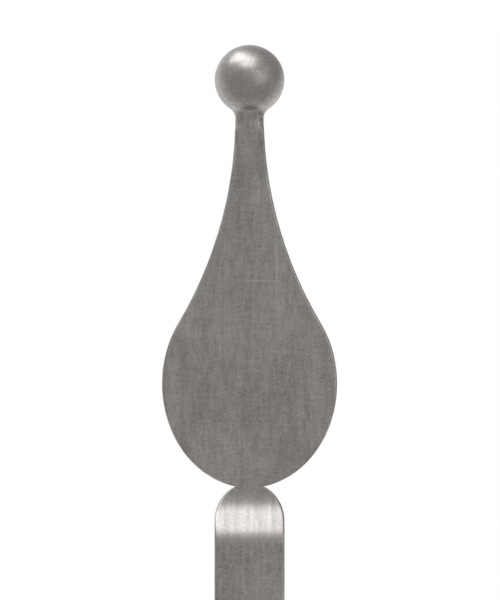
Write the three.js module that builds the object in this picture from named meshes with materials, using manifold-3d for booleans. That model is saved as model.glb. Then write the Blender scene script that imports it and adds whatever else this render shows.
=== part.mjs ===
// A forged fence picket: a square steel bar whose rounded top thins into a flat teardrop leaf and
// ends in a ball. It stands along +Z on its sawn foot, with the leaf's broad faces towards -Y and +Y.
// All sizes are in millimetres.
import * as THREE from "three";
import { mergeVertices } from "three/addons/utils/BufferGeometryUtils.js";
import Module from "manifold-3d";

const { degToRad } = THREE.MathUtils;

// Driving dimensions
const picketHeight = 1000; // sawn foot to the top of the ball
const barWidth = 19.05; // three-quarter inch square bar
const ballDiameter = 19.05; // as wide as the bar
const leafWidth = 47.8; // at its widest line
const leafThickness = 7;
const lobeHalfHeight = 28.4; // vertical half axis of the ellipse that forms the leaf's round lower lobe
const flankAngle = degToRad(35.3); // how far round that ellipse the hollow flank leaves it
const neckWidth = 7.8; // the leaf's narrow top, just under the ball
const leafToBall = 82.9; // widest line of the leaf up to the ball's centre
const leafToShoulder = 37.4; // widest line of the leaf down to where the bar's top starts to round off
const shoulderRise = 10.1; // height of the bar's half-round top, seen from the front
const taperAngle = degToRad(36); // slope of the face that steps back from the bar to the leaf
const taperCrown = 9.3; // radius where the bar's face rolls over into that slope
const taperHollow = 11.5; // radius where the slope sweeps up into the leaf's face
const taperTopRise = 8.4; // where that sweep ends, above the start of the half-round top
const collarRadius = 3.3; // hollow fillet between the neck and the ball
const edgeRadius = 0.65; // softened long edges of the bar and the leaf's rim

// Facets
const curveSteps = 13; // per curve of an outline, doubled by three.js on arcs and ellipses
const edgeSteps = 2;
const ballSides = 40;
const ballRings = 24;
const collarSides = 32;
const collarSteps = 6;

// Heights worked out from the top down
const ballRadius = ballDiameter / 2;
const ballCentre = picketHeight - ballRadius;
const leafCentre = ballCentre - leafToBall;
const shoulderStart = leafCentre - leafToShoulder;
const spare = 5; // how far a cutting outline runs past what it cuts

const wasm = await Module();
wasm.setup();

// A closed three.js geometry as a solid that can be joined and cut.
function solidFrom(geometry) {
  geometry.deleteAttribute("normal");
  geometry.deleteAttribute("uv");
  const merged = mergeVertices(geometry);
  const corners = Array.from(merged.index.array);
  const triVerts = [];
  for (let i = 0; i < corners.length; i += 3) {
    const [a, b, c] = corners.slice(i, i + 3);
    // A revolved outline leaves collapsed triangles on its axis.
    if (a !== b && b !== c && c !== a) triVerts.push(a, b, c);
  }
  const vertProperties = merged.attributes.position.array;
  return new wasm.Manifold(
    new wasm.Mesh({ numProp: 3, vertProperties, triVerts: new Uint32Array(triVerts) }),
  );
}

// A finished solid as a three.js geometry.
function geometryFrom(solid) {
  const { vertProperties, triVerts } = solid.getMesh();
  const geometry = new THREE.BufferGeometry();
  geometry.setAttribute("position", new THREE.BufferAttribute(vertProperties, 3));
  geometry.setIndex(new THREE.BufferAttribute(triVerts, 1));
  geometry.computeVertexNormals();
  return geometry;
}

// An outline drawn in the X-Z plane, made solid through Y and centred on it.
function throughY(outline, thickness, edge) {
  const geometry = extrude(outline, thickness, edge);
  geometry.rotateX(Math.PI / 2);
  geometry.translate(0, thickness / 2, 0);
  return solidFrom(geometry);
}

// An outline drawn in the Y-Z plane, made solid through X and centred on it.
function throughX(outline, thickness, edge) {
  const geometry = extrude(outline, thickness, edge);
  geometry.rotateX(Math.PI / 2);
  geometry.rotateZ(Math.PI / 2);
  geometry.translate(-thickness / 2, 0, 0);
  return solidFrom(geometry);
}

// Extrudes to exactly the outline and thickness, with the rim rounded inside them.
function extrude(outline, thickness, edge) {
  const geometry = new THREE.ExtrudeGeometry(outline, {
    depth: thickness - 2 * edge,
    bevelEnabled: edge > 0,
    bevelThickness: edge,
    bevelSize: edge,
    bevelOffset: -edge,
    bevelSegments: edgeSteps,
    curveSegments: curveSteps,
  });
  geometry.translate(0, 0, edge);
  return geometry;
}

// The leaf from the front: an ellipse below, hollow flanks that leave it tangentially and run up
// into a narrow neck, which stops inside the ball.
function leafOutline() {
  const halfWidth = leafWidth / 2;
  const halfNeck = neckWidth / 2;
  const leaving = new THREE.Vector2(
    halfWidth * Math.cos(flankAngle),
    leafCentre + lobeHalfHeight * Math.sin(flankAngle),
  );
  const outward = new THREE.Vector2(
    Math.cos(flankAngle) / halfWidth,
    Math.sin(flankAngle) / lobeHalfHeight,
  ).normalize();
  // The one radius whose arc touches the ellipse there and is upright where it reaches the neck.
  const flankRadius = (leaving.x - halfNeck) / (1 - outward.x);
  const flankX = halfNeck + flankRadius;
  const flankZ = leaving.y + outward.y * flankRadius;
  const flankTurn = outward.angle();

  const outline = new THREE.Shape();
  outline.absellipse(0, leafCentre, halfWidth, lobeHalfHeight, -Math.PI / 2, flankAngle);
  outline.absarc(flankX, flankZ, flankRadius, Math.PI + flankTurn, Math.PI, true);
  outline.lineTo(halfNeck, ballCentre);
  outline.lineTo(-halfNeck, ballCentre);
  outline.lineTo(-halfNeck, flankZ);
  outline.absarc(-flankX, flankZ, flankRadius, 0, -flankTurn, true);
  outline.absellipse(0, leafCentre, halfWidth, lobeHalfHeight, Math.PI - flankAngle, 1.5 * Math.PI);
  return outline;
}

// The bar from the front: square-cut below, half-round on top.
function barFrontOutline() {
  const half = barWidth / 2;
  const outline = new THREE.Shape();
  outline.moveTo(-half, 0);
  outline.lineTo(half, 0);
  outline.absellipse(0, shoulderStart, half, shoulderRise, 0, Math.PI);
  outline.closePath();
  return outline;
}

// The bar from the side: each face rolls over, slopes back and sweeps up into the leaf's face.
function barSideOutline() {
  const half = barWidth / 2;
  const halfLeaf = leafThickness / 2;
  const sweepEnd = shoulderStart + taperTopRise;
  const slopeTop = sweepEnd - taperHollow * Math.sin(taperAngle);
  const slopeTopY = halfLeaf + taperHollow * (1 - Math.cos(taperAngle));
  const slopeFootY = half - taperCrown * (1 - Math.cos(taperAngle));
  const slopeFoot = slopeTop - (slopeFootY - slopeTopY) / Math.tan(taperAngle);
  const rollStart = slopeFoot - taperCrown * Math.sin(taperAngle);
  const hollowY = halfLeaf + taperHollow;
  const crownY = half - taperCrown;

  const outline = new THREE.Shape();
  outline.moveTo(-half, -spare);
  outline.lineTo(half, -spare);
  outline.absarc(crownY, rollStart, taperCrown, 0, taperAngle);
  outline.absarc(hollowY, sweepEnd, taperHollow, Math.PI + taperAngle, Math.PI, true);
  outline.lineTo(halfLeaf, leafCentre);
  outline.lineTo(-halfLeaf, leafCentre);
  outline.absarc(-hollowY, sweepEnd, taperHollow, 0, -taperAngle, true);
  outline.absarc(-crownY, rollStart, taperCrown, Math.PI - taperAngle, Math.PI);
  outline.closePath();
  return outline;
}

// The bar is what its side view and its front view have in common.
function bar() {
  const side = throughX(barSideOutline(), barWidth, edgeRadius);
  const front = throughY(barFrontOutline(), barWidth + 2 * spare, 0);
  return side.intersect(front);
}

function leaf() {
  return throughY(leafOutline(), leafThickness, edgeRadius);
}

function ball() {
  const geometry = new THREE.SphereGeometry(ballRadius, ballSides, ballRings);
  geometry.rotateX(Math.PI / 2);
  geometry.translate(0, 0, ballCentre);
  return solidFrom(geometry);
}

// The hollow fillet round the neck: its arc touches both the ball and the neck's side.
function collar() {
  const halfNeck = neckWidth / 2;
  const across = halfNeck + collarRadius;
  const down = Math.sqrt((ballRadius + collarRadius) ** 2 - across ** 2);
  const ballTouch = Math.atan2(down, -across);
  const profile = [new THREE.Vector2(0, -down)];
  for (let i = 0; i <= collarSteps; i++) {
    const turn = THREE.MathUtils.lerp(Math.PI, ballTouch, i / collarSteps);
    profile.push(
      new THREE.Vector2(
        across + collarRadius * Math.cos(turn),
        collarRadius * Math.sin(turn) - down,
      ),
    );
  }
  profile.push(new THREE.Vector2(0, 0));
  const geometry = new THREE.LatheGeometry(profile, collarSides);
  geometry.rotateX(Math.PI / 2);
  // The neck is thinner than it is wide, and the fillet with it.
  geometry.scale(1, leafThickness / neckWidth, 1);
  geometry.translate(0, 0, ballCentre);
  return solidFrom(geometry);
}

const steel = new THREE.MeshStandardMaterial({ color: 0x7e7a77, roughness: 0.42, metalness: 1 });

const picket = new THREE.Mesh(
  geometryFrom(bar().add(leaf()).add(collar()).add(ball())),
  steel,
);
picket.name = "picket";

const group = new THREE.Group();
group.add(picket);
export default group;
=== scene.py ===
# Forged fence picket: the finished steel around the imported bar, in metres, leaf facing -Y.
import math

import bmesh
import bpy
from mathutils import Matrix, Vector


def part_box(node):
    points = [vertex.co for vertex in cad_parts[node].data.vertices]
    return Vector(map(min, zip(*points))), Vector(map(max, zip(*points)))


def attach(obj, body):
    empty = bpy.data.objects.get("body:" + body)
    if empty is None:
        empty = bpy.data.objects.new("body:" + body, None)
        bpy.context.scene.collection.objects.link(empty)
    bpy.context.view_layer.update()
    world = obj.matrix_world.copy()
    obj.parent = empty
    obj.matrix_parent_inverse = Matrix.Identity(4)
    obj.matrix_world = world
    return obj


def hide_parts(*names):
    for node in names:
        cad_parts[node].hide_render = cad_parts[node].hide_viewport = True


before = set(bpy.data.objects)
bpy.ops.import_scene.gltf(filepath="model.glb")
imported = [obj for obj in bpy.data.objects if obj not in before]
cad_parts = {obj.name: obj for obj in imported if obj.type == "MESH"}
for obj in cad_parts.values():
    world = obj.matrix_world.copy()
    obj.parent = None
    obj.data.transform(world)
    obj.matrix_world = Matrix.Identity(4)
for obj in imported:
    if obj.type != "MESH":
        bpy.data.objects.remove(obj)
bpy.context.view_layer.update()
scene = bpy.context.scene
low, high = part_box("picket")
print("frame loaded, picket is", [round(v, 4) for v in high - low])

# The forging
picket = {
    "leafThickness": 0.007,
    "lobeHalfHeight": 0.0284,  # ellipse of the leaf's round lower end
    "flankAngle": math.radians(35.3),  # how far round it the hollow flank leaves
    "neckWidth": 0.0078,
    "leafToBall": 0.0829,  # widest line of the leaf up to the ball's centre
    "leafToShoulder": 0.0374,  # and down to where the bar's top starts to round off
    "shoulderRise": 0.0101,
    "taperAngle": math.radians(36),  # slope between the bar's face and the leaf's
    "taperCrown": 0.0093,
    "taperHollow": 0.0115,
    "taperTopRise": 0.0084,
    "ballFillet": 0.0033,
    "neckRounding": 0.0143,  # below the ball's centre, where the neck's corners start to round off
    "cornerRise": 0.0024,  # height over which they do
    "cornerRoundness": 0.5,  # how round the neck is by then
    "edgeRadius": 0.00065,
    "edgeSegments": 8,
    "notchEdge": 0.25,  # how much of that rounding is left at the notch under the leaf
    "notchFade": 0.007,  # and how far from it the rounding is whole again
    "drawnFade": 0.003,  # length over which the marks turn along the slope
    "flatMargin": 0.0002,  # narrow strip that keeps the broad faces flat in the light
    "footBevel": 0.0003,
    "curveStep": math.radians(2.5),
    "taperCuts": 36,
    "neckCuts": 4,  # strips in each quarter of the neck's flats
    "neckRings": 12,
    "filletRings": 10,
    "ballRings": 40,
    "footSegments": 2,
    "creaseAngle": math.radians(50),  # edges sharper than this stay sharp in the light
    "broadFacing": 0.999,  # how squarely the broad faces look to front and back
    "halvings": 50,  # steps of the search for the notch
    "tolerance": 1e-7,  # closer than this is level, or the same point
    "stripStep": 1e-6,  # least rise between two points of a rounding
    "ringStart": 1e-5,  # keeps the first point of a ring first
    "mergeDistance": 6e-6,
}

barHalf = high.y
leafHalf = high.x
plateHalf = picket["leafThickness"] / 2
neckHalf = picket["neckWidth"] / 2
ballRadius = high.y
ballZ = high.z - ballRadius
leafZ = ballZ - picket["leafToBall"]
shoulderZ = leafZ - picket["leafToShoulder"]
neckZ = ballZ - picket["neckRounding"]
tolerance = picket["tolerance"]


def arcPoints(centreX, centreZ, radiusX, radiusZ, start, end):
    steps = max(2, math.ceil(abs(end - start) / picket["curveStep"]))
    angles = [start + (end - start) * i / steps for i in range(steps + 1)]
    return [(centreX + radiusX * math.cos(a), centreZ + radiusZ * math.sin(a)) for a in angles]


# Arc that leaves the lobe tangentially and stands upright at the neck
def flankArc():
    angle = picket["flankAngle"]
    leaveX = leafHalf * math.cos(angle)
    leaveZ = leafZ + picket["lobeHalfHeight"] * math.sin(angle)
    outward = Vector((math.cos(angle) / leafHalf, math.sin(angle) / picket["lobeHalfHeight"]))
    outward.normalize()
    radius = (leaveX - neckHalf) / (1 - outward.x)
    return neckHalf + radius, leaveZ + outward.y * radius, radius, math.atan2(outward.y, outward.x)


flankX, flankZ, flankRadius, flankTurn = flankArc()


# How far round the bar's half-round top it runs into the lobe
def notchAngle():
    below, above = 0.0, math.pi / 2
    for _ in range(picket["halvings"]):
        middle = (below + above) / 2
        x = barHalf * math.cos(middle)
        z = shoulderZ + picket["shoulderRise"] * math.sin(middle) - leafZ
        if (x / leafHalf) ** 2 + (z / picket["lobeHalfHeight"]) ** 2 > 1:
            below = middle
        else:
            above = middle
    return middle


notch = notchAngle()
notchX = barHalf * math.cos(notch)
notchZ = shoulderZ + picket["shoulderRise"] * math.sin(notch)


# Right-hand outline from the foot's middle to the neck's
def sideOutline():
    shoulder = arcPoints(0, shoulderZ, barHalf, picket["shoulderRise"], 0, notch)
    lobeStart = -math.acos(notchX / leafHalf)
    lobe = arcPoints(0, leafZ, leafHalf, picket["lobeHalfHeight"], lobeStart, picket["flankAngle"])
    neckTurn = math.asin((neckZ - flankZ) / flankRadius)
    flank = arcPoints(flankX, flankZ, flankRadius, flankRadius, math.pi + flankTurn, math.pi - neckTurn)
    return [(0, 0), (barHalf, 0)] + shoulder + lobe[1:] + flank[1:] + [(0, neckZ)]


# Half the forging's depth: bar, rolled edge, slope, hollow, leaf
def taperHeights():
    angle = picket["taperAngle"]
    sweepEnd = shoulderZ + picket["taperTopRise"]
    slopeTop = sweepEnd - picket["taperHollow"] * math.sin(angle)
    turned = (picket["taperHollow"] + picket["taperCrown"]) * (1 - math.cos(angle))
    slopeFoot = slopeTop - (barHalf - plateHalf - turned) / math.tan(angle)
    rollStart = slopeFoot - picket["taperCrown"] * math.sin(angle)
    return rollStart, slopeFoot, slopeTop, sweepEnd


rollStart, slopeFoot, slopeTop, sweepEnd = taperHeights()


def halfDepth(z):
    crown, hollow = picket["taperCrown"], picket["taperHollow"]
    if z <= rollStart:
        return barHalf
    if z <= slopeFoot:
        return barHalf - crown + math.sqrt(crown ** 2 - (z - rollStart) ** 2)
    if z <= slopeTop:
        return halfDepth(slopeFoot) - (z - slopeFoot) * math.tan(picket["taperAngle"])
    if z <= sweepEnd:
        return plateHalf + hollow - math.sqrt(hollow ** 2 - (sweepEnd - z) ** 2)
    return plateHalf


# Half size of the bare neck at a height: its sides lean, its front and back stand upright
def neckOf(half, z):
    lean = flankX - math.sqrt(flankRadius ** 2 - (min(z, flankZ) - flankZ) ** 2) - neckHalf
    return half + (lean if half == neckHalf else 0)


# Half size of the neck, of its fillet and of the ball at a height
def neckReach(half, z):
    fillet = picket["ballFillet"]
    across = neckOf(half, ballZ) + fillet
    down = math.sqrt((ballRadius + fillet) ** 2 - across ** 2)
    if z < ballZ - down:
        return neckOf(half, z)
    if z < ballZ - down * ballRadius / (ballRadius + fillet):
        return across - math.sqrt(fillet ** 2 - (z - ballZ + down) ** 2)
    return math.sqrt(max(0, ballRadius ** 2 - (z - ballZ) ** 2))


def evenSteps(start, end, count):
    return [start + (end - start) * i / count for i in range(count)]


# Heights of the rings from the neck to the ball's top, and the fillet's two ends
def ringHeights():
    fillet = picket["ballFillet"]
    across = neckHalf + fillet
    down = math.sqrt((ballRadius + fillet) ** 2 - across ** 2)
    filletFoot = ballZ - down
    touch = ballZ - down * ballRadius / (ballRadius + fillet)
    lowest = math.asin((touch - ballZ) / ballRadius)
    neck = evenSteps(neckZ, filletFoot, picket["neckRings"])[1:]
    hollow = evenSteps(filletFoot, touch, picket["filletRings"])
    turns = evenSteps(lowest, math.pi / 2, picket["ballRings"])
    return neck + hollow + [ballZ + ballRadius * math.sin(a) for a in turns], filletFoot, touch


ringLevels, filletFoot, touch = ringHeights()


def easeIn(value, start, length):
    t = min(1, max(0, (value - start) / length))
    return t * t * (3 - 2 * t)


def cutAcross(bm, point, normal):
    everything = bm.verts[:] + bm.edges[:] + bm.faces[:]
    bmesh.ops.bisect_plane(bm, geom=everything, dist=tolerance, plane_co=point, plane_no=normal)


def forgePlate(bm):
    chain = [bm.verts.new((x, -plateHalf, z)) for x, z in sideOutline()]
    for a, b in zip(chain, chain[1:]):
        bm.edges.new((a, b))
    bmesh.ops.mirror(bm, geom=bm.verts[:] + bm.edges[:], axis="X", merge_dist=tolerance)
    bmesh.ops.contextual_create(bm, geom=bm.edges[:])
    grown = bmesh.ops.extrude_face_region(bm, geom=bm.faces[:])["geom"]
    moved = [g for g in grown if isinstance(g, bmesh.types.BMVert)]
    bmesh.ops.translate(bm, verts=moved, vec=(0, 2 * plateHalf, 0))
    bmesh.ops.recalc_face_normals(bm, faces=bm.faces[:])


def isLevel(items, z):
    return all(abs(v.co.z - z) < tolerance for v in items)


# One strip of the rounding, from the plate's side over to its broad face
def stripOver(side):
    strip = [side]
    outer = strip
    while outer:
        here = strip[-1]
        around = [e.other_vert(here) for e in here.link_edges]
        reach = abs(here.co.y) + picket["stripStep"]
        outer = [v for v in around if abs(v.co.y) > reach and v.co.y * here.co.y > 0]
        strip += outer[:1]
    return strip


# Narrows the rounding towards the notch, each strip of it about its own sharp corner
def sharpenNotch(rounded):
    sides = [v for v in rounded if abs(v.co.y) < plateHalf - picket["edgeRadius"] + tolerance]
    for strip in [stripOver(v) for v in sides]:
        x, y, z = strip[0].co
        away = math.hypot(abs(x) - notchX, z - notchZ)
        left = picket["notchEdge"] + (1 - picket["notchEdge"]) * easeIn(away, 0, picket["notchFade"])
        corner = Vector((x, math.copysign(plateHalf, y), z))
        for v in strip:
            v.co = corner.lerp(v.co, left)


# Rounds the long edges, keeping the foot and the neck's end square
def roundEdges(bm, rim):
    around = [e for e in bm.edges if abs(e.verts[0].co.y - e.verts[1].co.y) < tolerance]
    edges = [e for e in around if not isLevel(e.verts, 0) and not isLevel(e.verts, neckZ)]
    made = bmesh.ops.bevel(
        bm, geom=edges, offset=picket["edgeRadius"], offset_type="OFFSET", affect="EDGES",
        segments=picket["edgeSegments"], profile=0.5, material=-1,
    )
    for v in made["verts"]:
        v[rim] = 1
    sharpenNotch(made["verts"])
    facing = [f for f in bm.faces if abs(f.normal.y) > picket["broadFacing"]]
    broad = [f for f in facing if f.calc_area() > plateHalf ** 2]
    bmesh.ops.inset_individual(bm, faces=broad, thickness=picket["flatMargin"], use_even_offset=True)
    for f in broad:
        for v in f.verts:
            v[rim] = 0


# Cuts the strips that the taper and the neck need, then deepens the bar
def cutStrips(bm):
    flatX = neckOf(neckHalf, neckZ) - picket["edgeRadius"]
    flatY = plateHalf - picket["edgeRadius"]
    cuts = picket["neckCuts"]
    for i in range(1 - cuts, cuts):
        cutAcross(bm, (flatX * i / cuts, 0, 0), (1, 0, 0))
        cutAcross(bm, (0, flatY * i / cuts, 0), (0, 1, 0))
    step = (sweepEnd - rollStart) / picket["taperCuts"]
    for i in range(-1, picket["taperCuts"] + 2):
        cutAcross(bm, (0, 0, rollStart + step * i), (0, 0, 1))
    for v in bm.verts:
        if abs(v.co.y) > flatY - tolerance:
            v.co.y += math.copysign(halfDepth(v.co.z) - plateHalf, v.co.y)


# Grows the neck's end ring by ring into the ball
def growBall(bm, rim):
    end = [f for f in bm.faces if isLevel(f.verts, neckZ)]
    bmesh.ops.delete(bm, geom=end, context="FACES")
    ring = [e for e in bm.edges if e.is_boundary]
    startX, startY = neckOf(neckHalf, neckZ), plateHalf
    section = None
    for z in ringLevels:
        grown = bmesh.ops.extrude_edge_only(bm, edges=ring)["geom"]
        spots = [g for g in grown if isinstance(g, bmesh.types.BMVert)]
        spots.sort(key=lambda v: (math.atan2(v.co.y, v.co.x) + picket["ringStart"]) % math.tau)
        section = section or [(v.co.x / startX, v.co.y / startY) for v in spots]
        corners = picket["cornerRoundness"] * easeIn(z, neckZ, picket["cornerRise"])
        roundness = corners + (1 - corners) * easeIn(z, filletFoot, touch - filletFoot)
        reachX, reachY = neckReach(neckHalf, z), neckReach(plateHalf, z)
        for i, (v, (flatX, flatY)) in enumerate(zip(spots, section)):
            angle = math.tau * i / len(spots)
            x = flatX + (math.cos(angle) - flatX) * roundness
            y = flatY + (math.sin(angle) - flatY) * roundness
            v.co = (x * reachX, y * reachY, z)
            v[rim] = 0
        ring = [e for e in bm.edges if e.is_boundary]
    grown = bmesh.ops.extrude_edge_only(bm, edges=ring)["geom"]
    pole = [g for g in grown if isinstance(g, bmesh.types.BMVert)]
    bmesh.ops.pointmerge(bm, verts=pole, merge_co=(0, 0, ballZ + ballRadius))


def bevelFoot(bm):
    edges = [e for e in bm.edges if isLevel(e.verts, 0) and e.calc_face_angle(0) > picket["creaseAngle"]]
    bmesh.ops.bevel(
        bm, geom=edges, offset=picket["footBevel"], offset_type="OFFSET", affect="EDGES",
        segments=picket["footSegments"], profile=0.5, material=-1,
    )


def forgePicket():
    bm = bmesh.new()
    rim = bm.verts.layers.float.new("rim")
    drawn = bm.verts.layers.float.new("drawn")
    turned = bm.verts.layers.float.new("turned")
    forgePlate(bm)
    roundEdges(bm, rim)
    cutStrips(bm)
    growBall(bm, rim)
    bevelFoot(bm)
    bmesh.ops.remove_doubles(bm, verts=bm.verts[:], dist=picket["mergeDistance"])
    bmesh.ops.recalc_face_normals(bm, faces=bm.faces[:])
    fade = picket["drawnFade"]
    for v in bm.verts:
        v[drawn] = easeIn(v.co.z, rollStart, fade) - easeIn(v.co.z, sweepEnd - fade, fade)
        v[turned] = easeIn(v.co.z, filletFoot, touch - filletFoot)
    for f in bm.faces:
        f.smooth = True
        f.material_index = 1 if isLevel(f.verts, 0) else 0
    for e in bm.edges:
        e.smooth = e.calc_face_angle(0) < picket["creaseAngle"]
    mesh = bpy.data.meshes.new("forgedPicket")
    bm.to_mesh(mesh)
    bm.free()
    piece = bpy.data.objects.new("forgedPicket", mesh)
    scene.collection.objects.link(piece)
    return piece


forgedPicket = forgePicket()
print("picket forged,", len(forgedPicket.data.polygons), "faces")


# Small helpers for node trees
def addNode(tree, kind, **values):
    node = tree.nodes.new(kind)
    for name, value in values.items():
        if hasattr(node, name):
            setattr(node, name, value)
        else:
            node.inputs[name].default_value = value
    return node


def newGroup(name, inputs, outputs):
    group = bpy.data.node_groups.new(name, "ShaderNodeTree")
    for socket, kind in inputs:
        group.interface.new_socket(name=socket, in_out="INPUT", socket_type=kind)
    for socket, kind in outputs:
        group.interface.new_socket(name=socket, in_out="OUTPUT", socket_type=kind)
    return group, group.nodes.new("NodeGroupInput"), group.nodes.new("NodeGroupOutput")


def placeGroup(tree, group, **values):
    node = tree.nodes.new("ShaderNodeGroup")
    node.node_tree = group
    for name, value in values.items():
        node.inputs[name].default_value = value
    return node


hairline = {"Scale": 1.0, "Detail": 3.0, "Roughness": 0.6}


# Fine lines drawn out along one direction: Grain is the lines per metre on each axis
def hairlineGroup():
    group, given, result = newGroup(
        "hairlines",
        [("Vector", "NodeSocketVector"), ("Grain", "NodeSocketVector"), ("Offset", "NodeSocketVector")],
        [("Lines", "NodeSocketFloat")],
    )
    stretch = addNode(group, "ShaderNodeVectorMath", operation="MULTIPLY_ADD")
    noise = addNode(group, "ShaderNodeTexNoise", **hairline)
    group.links.new(given.outputs["Vector"], stretch.inputs[0])
    group.links.new(given.outputs["Grain"], stretch.inputs[1])
    group.links.new(given.outputs["Offset"], stretch.inputs[2])
    group.links.new(stretch.outputs[0], noise.inputs["Vector"])
    group.links.new(noise.outputs["Fac"], result.inputs["Lines"])
    return group


scratch = {
    "bendScale": 18.0,
    "bendDetail": 1.0,
    "bend": (0.0015, 0.0015, 0.0015),  # how far the marks wander
    "peak": 0.85,  # height of the noise that makes a whole mark
}


# Few thin marks: only the peaks of the hairlines, made to wander a little
def scratchGroup(hairlines):
    group, given, result = newGroup(
        "scratches",
        [
            ("Vector", "NodeSocketVector"), ("Grain", "NodeSocketVector"), ("Offset", "NodeSocketVector"),
            ("Rare", "NodeSocketFloat"),
        ],
        [("Marks", "NodeSocketFloat")],
    )
    lines = placeGroup(group, hairlines)
    bend = addNode(
        group, "ShaderNodeTexNoise", Scale=scratch["bendScale"], Detail=scratch["bendDetail"],
    )
    bent = addNode(group, "ShaderNodeVectorMath", operation="MULTIPLY_ADD")
    bent.inputs[1].default_value = scratch["bend"]
    peaks = addNode(group, "ShaderNodeMapRange", interpolation_type="SMOOTHSTEP")
    peaks.inputs["From Max"].default_value = scratch["peak"]
    group.links.new(given.outputs["Vector"], bend.inputs["Vector"])
    group.links.new(bend.outputs["Color"], bent.inputs[0])
    group.links.new(given.outputs["Vector"], bent.inputs[2])
    group.links.new(bent.outputs[0], lines.inputs["Vector"])
    group.links.new(given.outputs["Grain"], lines.inputs["Grain"])
    group.links.new(given.outputs["Offset"], lines.inputs["Offset"])
    group.links.new(lines.outputs["Lines"], peaks.inputs["Value"])
    group.links.new(given.outputs["Rare"], peaks.inputs["From Min"])
    group.links.new(peaks.outputs["Result"], result.inputs["Marks"])
    return group


hairlines = hairlineGroup()
scratches = scratchGroup(hairlines)

satin = {
    "dark": (0.300, 0.279, 0.264, 1),
    "light": (0.560, 0.522, 0.495, 1),
    "worn": (0.60, 0.57, 0.55, 1),
    "hairlines": {
        "flecks": {"Grain": (1050, 1050, 230)},  # short upright flecks
        "cross": {"Grain": (260, 260, 1100), "Offset": (7.1, 3.3, 1.7)},  # and level ones
        "draw": {"Grain": (600, 600, 25), "Offset": (1.9, 6.7, 4.3)},  # long streaks down the bar
        "slope": {"Grain": (400, 20, 40), "Offset": (3.1, 2.2, 7.4)},  # and down the slope
        "blotch": {"Grain": (170, 170, 60), "Offset": (5.3, 1.1, 9.2)},  # soft upright blotches
    },
    "scratches": {
        "levelMarks": {"Grain": (26, 26, 900), "Offset": (2.3, 5.9, 0.4), "Rare": 0.62},
        "uprightMarks": {"Grain": (800, 800, 9), "Offset": (4.7, 8.1, 2.9), "Rare": 0.62},
        "nicks": {"Grain": (700, 700, 350), "Offset": (8.3, 0.7, 6.1), "Rare": 0.68},
    },
    "noises": {
        "grit": {"Scale": 1700.0, "Detail": 1.0},
        "mottle": {"Scale": 75.0, "Detail": 4.0, "Roughness": 0.55},
        "cloud": {"Scale": 18.0, "Detail": 2.0},
    },
    "weights": {
        "flecks": 1.1, "cross": 0.65, "draw": 0.6, "grit": 1.2, "blotch": 0.85, "mottle": 0.35,
        "cloud": 0.3, "levelMarks": 0.8, "uprightMarks": 0.8, "nicks": 0.5,
    },
    "level": -2.095,  # brings the weighted sum to the middle between dark and light
    "slopeWeights": {"slope": 1.8, "grit": 0.7},
    "slopeLevel": -0.76,
    "bumpWeights": {"flecks": 1.0, "cross": 0.5},
    "turnedCalm": 0.25,  # how much quieter the turned ball is
    "calmTone": 0.48,
    "patchStart": 0.52,  # mottle at which an edge starts to be worn bright
    "patchFull": 0.75,
    "roughLow": 0.34,
    "roughHigh": 0.42,
    "bump": 0.035,
    "bumpDepth": 0.0002,
}


# Weighted sum of several values, as a chain of multiply-add nodes
def weightedSum(tree, parts, start):
    total = None
    for socket, weight in parts:
        step = addNode(tree, "ShaderNodeMath", operation="MULTIPLY_ADD")
        step.inputs[1].default_value = weight
        step.inputs[2].default_value = start
        tree.links.new(socket, step.inputs[0])
        if total:
            tree.links.new(total, step.inputs[2])
        total = step.outputs[0]
    return total


def blendMarks(tree, marks, weights, start):
    parts = [(marks[name].outputs[0], weight) for name, weight in weights.items()]
    return weightedSum(tree, parts, start)


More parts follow.
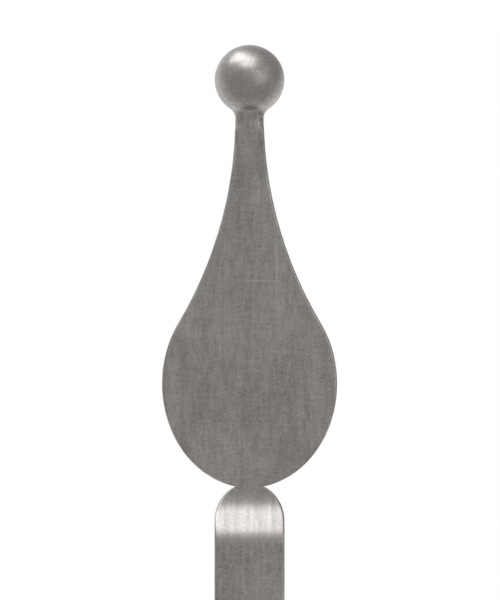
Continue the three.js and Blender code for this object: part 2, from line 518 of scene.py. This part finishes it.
def satinSteel():
    material = bpy.data.materials.new("satinSteel")
    material.use_nodes = True
    tree = material.node_tree
    shader = tree.nodes["Principled BSDF"]
    shader.inputs["Metallic"].default_value = 1.0
    place = addNode(tree, "ShaderNodeTexCoord").outputs["Object"]

    marks = {}
    for name, values in satin["hairlines"].items():
        marks[name] = placeGroup(tree, hairlines, **values)
    for name, values in satin["scratches"].items():
        marks[name] = placeGroup(tree, scratches, **values)
    for name, values in satin["noises"].items():
        marks[name] = addNode(tree, "ShaderNodeTexNoise", **values)
    for node in marks.values():
        tree.links.new(place, node.inputs["Vector"])

    overall = blendMarks(tree, marks, satin["weights"], satin["level"])
    along = blendMarks(tree, marks, satin["slopeWeights"], satin["slopeLevel"])
    drawn = addNode(tree, "ShaderNodeAttribute", attribute_name="drawn")
    turned = addNode(tree, "ShaderNodeAttribute", attribute_name="turned")
    marked = addNode(tree, "ShaderNodeMix", data_type="FLOAT")
    tree.links.new(drawn.outputs["Fac"], marked.inputs[0])
    tree.links.new(overall, marked.inputs[2])
    tree.links.new(along, marked.inputs[3])
    calm = weightedSum(tree, [(turned.outputs["Fac"], satin["turnedCalm"])], 0.0)
    quiet = addNode(tree, "ShaderNodeMix", data_type="FLOAT")
    quiet.inputs[3].default_value = satin["calmTone"]
    tree.links.new(calm, quiet.inputs[0])
    tree.links.new(marked.outputs[0], quiet.inputs[2])
    tone = quiet.outputs[0]
    colour = addNode(tree, "ShaderNodeMix", data_type="RGBA")
    colour.inputs[6].default_value = satin["dark"]
    colour.inputs[7].default_value = satin["light"]
    tree.links.new(tone, colour.inputs[0])

    rim = addNode(tree, "ShaderNodeAttribute", attribute_name="rim")
    patches = addNode(tree, "ShaderNodeMapRange", interpolation_type="SMOOTHSTEP")
    patches.inputs["From Min"].default_value = satin["patchStart"]
    patches.inputs["From Max"].default_value = satin["patchFull"]
    tree.links.new(marks["mottle"].outputs[0], patches.inputs["Value"])
    wear = addNode(tree, "ShaderNodeMath", operation="MULTIPLY")
    tree.links.new(rim.outputs["Fac"], wear.inputs[0])
    tree.links.new(patches.outputs["Result"], wear.inputs[1])
    worn = addNode(tree, "ShaderNodeMix", data_type="RGBA")
    worn.inputs[7].default_value = satin["worn"]
    tree.links.new(wear.outputs[0], worn.inputs[0])
    tree.links.new(colour.outputs[2], worn.inputs[6])
    tree.links.new(worn.outputs[2], shader.inputs["Base Color"])

    rough = addNode(tree, "ShaderNodeMapRange")
    rough.inputs["To Min"].default_value = satin["roughHigh"]
    rough.inputs["To Max"].default_value = satin["roughLow"]
    tree.links.new(tone, rough.inputs["Value"])
    tree.links.new(rough.outputs["Result"], shader.inputs["Roughness"])

    height = blendMarks(tree, marks, satin["bumpWeights"], 0.0)
    bump = addNode(tree, "ShaderNodeBump", Strength=satin["bump"], Distance=satin["bumpDepth"])
    tree.links.new(height, bump.inputs["Height"])
    tree.links.new(bump.outputs["Normal"], shader.inputs["Normal"])
    return material


# The foot's sawn end: straight saw lines across a duller face
sawn = {
    "dark": (0.24, 0.23, 0.22, 1),
    "light": (0.50, 0.48, 0.46, 1),
    "sawGrain": (60, 1100, 60),
    "rough": 0.5,
    "bump": 0.25,
    "bumpDepth": 0.0002,
}


def sawnSteel():
    material = bpy.data.materials.new("sawnSteel")
    material.use_nodes = True
    tree = material.node_tree
    shader = tree.nodes["Principled BSDF"]
    shader.inputs["Metallic"].default_value = 1.0
    shader.inputs["Roughness"].default_value = sawn["rough"]
    place = addNode(tree, "ShaderNodeTexCoord").outputs["Object"]
    lines = placeGroup(tree, hairlines, Grain=sawn["sawGrain"])
    tree.links.new(place, lines.inputs["Vector"])
    colour = addNode(tree, "ShaderNodeMix", data_type="RGBA")
    colour.inputs[6].default_value = sawn["dark"]
    colour.inputs[7].default_value = sawn["light"]
    tree.links.new(lines.outputs["Lines"], colour.inputs[0])
    tree.links.new(colour.outputs[2], shader.inputs["Base Color"])
    bump = addNode(tree, "ShaderNodeBump", Strength=sawn["bump"], Distance=sawn["bumpDepth"])
    tree.links.new(lines.outputs["Lines"], bump.inputs["Height"])
    tree.links.new(bump.outputs["Normal"], shader.inputs["Normal"])
    return material


forgedPicket.data.materials.append(satinSteel())
forgedPicket.data.materials.append(sawnSteel())
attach(forgedPicket, "root")
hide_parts("picket")
print("steel finished")

# Studio: a pale room with soft lamps, each with its direction, half angle in degrees and glow
studio = {
    "room": 0.438,  # what the flat faces mirror
    "lampColour": (0.97, 1.0, 1.03, 1),
    "lamps": {
        "overhead": ((-0.105, -0.420, 0.900), 32.5, 2.15),
        "upperLeft": ((-0.478, 0.080, 0.875), 24, 3.45),
        "frontRight": ((0.583, -0.768, 0.263), 34, 0.54),
        "backLeft": ((-0.386, 0.881, -0.272), 83, 0.62),
        "backRight": ((0.562, 0.670, -0.484), 49, 0.48),
        "fromBelow": ((0.0, 0.130, -0.991), 28, 0.75),
    },
    "floorRadius": 3.0,
    "floorSides": 96,
    "floorColour": (0.82, 0.82, 0.81, 1),
    "floorRough": 0.9,
    "fadeStart": 0.3,  # distance from the picket at which the floor starts to fade
    "fadeEnd": 0.95,  # share of the radius at which it is gone
}


# Glow of one lamp, fading out over its whole half angle
def softLamp(tree, toward, middle, halfAngle, glow):
    facing = addNode(tree, "ShaderNodeVectorMath", operation="DOT_PRODUCT")
    facing.inputs[1].default_value = Vector(middle).normalized()
    tree.links.new(toward, facing.inputs[0])
    soft = addNode(tree, "ShaderNodeMapRange", interpolation_type="SMOOTHSTEP")
    soft.inputs["From Min"].default_value = math.cos(math.radians(halfAngle))
    soft.inputs["To Max"].default_value = glow
    tree.links.new(facing.outputs["Value"], soft.inputs["Value"])
    return soft.outputs["Result"]


def litRoom():
    world = bpy.data.worlds.new("studioRoom")
    scene.world = world
    world.use_nodes = True
    tree = world.node_tree
    tree.nodes.clear()
    toward = addNode(tree, "ShaderNodeTexCoord").outputs["Generated"]
    lamps = [softLamp(tree, toward, *lamp) for lamp in studio["lamps"].values()]
    glow = weightedSum(tree, [(lamp, 1.0) for lamp in lamps], 0.0)
    lampLight = addNode(tree, "ShaderNodeBackground", Color=studio["lampColour"])
    tree.links.new(glow, lampLight.inputs["Strength"])
    roomLight = addNode(tree, "ShaderNodeBackground", Color=(1, 1, 1, 1), Strength=studio["room"])
    light = addNode(tree, "ShaderNodeAddShader")
    tree.links.new(lampLight.outputs[0], light.inputs[0])
    tree.links.new(roomLight.outputs[0], light.inputs[1])
    backdrop = addNode(tree, "ShaderNodeBackground", Color=(1, 1, 1, 1))  # plain white to the camera
    mix = addNode(tree, "ShaderNodeMixShader")
    out = addNode(tree, "ShaderNodeOutputWorld")
    tree.links.new(addNode(tree, "ShaderNodeLightPath").outputs["Is Camera Ray"], mix.inputs[0])
    tree.links.new(light.outputs[0], mix.inputs[1])
    tree.links.new(backdrop.outputs[0], mix.inputs[2])
    tree.links.new(mix.outputs[0], out.inputs["Surface"])


# Round floor that fades out into the backdrop
def paleFloor():
    bm = bmesh.new()
    bmesh.ops.create_circle(bm, cap_ends=True, segments=studio["floorSides"], radius=studio["floorRadius"])
    mesh = bpy.data.meshes.new("paleFloor")
    bm.to_mesh(mesh)
    bm.free()
    floor = bpy.data.objects.new("paleFloor", mesh)
    scene.collection.objects.link(floor)
    material = bpy.data.materials.new("paleFloor")
    material.use_nodes = True
    tree = material.node_tree
    shader = tree.nodes["Principled BSDF"]
    shader.inputs["Base Color"].default_value = studio["floorColour"]
    shader.inputs["Roughness"].default_value = studio["floorRough"]
    place = addNode(tree, "ShaderNodeTexCoord").outputs["Object"]
    far = addNode(tree, "ShaderNodeVectorMath", operation="LENGTH")
    tree.links.new(place, far.inputs[0])
    fade = addNode(tree, "ShaderNodeMapRange", interpolation_type="SMOOTHSTEP")
    fade.inputs["From Min"].default_value = studio["fadeStart"]
    fade.inputs["From Max"].default_value = studio["floorRadius"] * studio["fadeEnd"]
    fade.inputs["To Min"].default_value = 1
    fade.inputs["To Max"].default_value = 0
    tree.links.new(far.outputs["Value"], fade.inputs["Value"])
    tree.links.new(fade.outputs["Result"], shader.inputs["Alpha"])
    mesh.materials.append(material)
    floor.visible_glossy = False


litRoom()
paleFloor()
scene.view_settings.view_transform = "Standard"
print("studio lit")

# Camera square to the leaf, from far off, framed on the head
view = {
    "lens": 400.0,
    "sensor": 36.0,
    "frameHeight": 0.1638,  # real height that the picture covers at the picket
    "aimBelowBall": 0.06012,  # picture's middle under the ball's centre
    "aimRight": 0.00012,
}

camera = bpy.data.objects.new("camera", bpy.data.cameras.new("camera"))
camera.data.lens = view["lens"]
camera.data.sensor_width = view["sensor"]
distance = view["frameHeight"] * view["lens"] / view["sensor"]
camera.location = (view["aimRight"], -distance, ballZ - view["aimBelowBall"])
camera.rotation_euler = (math.pi / 2, 0, 0)
scene.collection.objects.link(camera)
scene.camera = camera
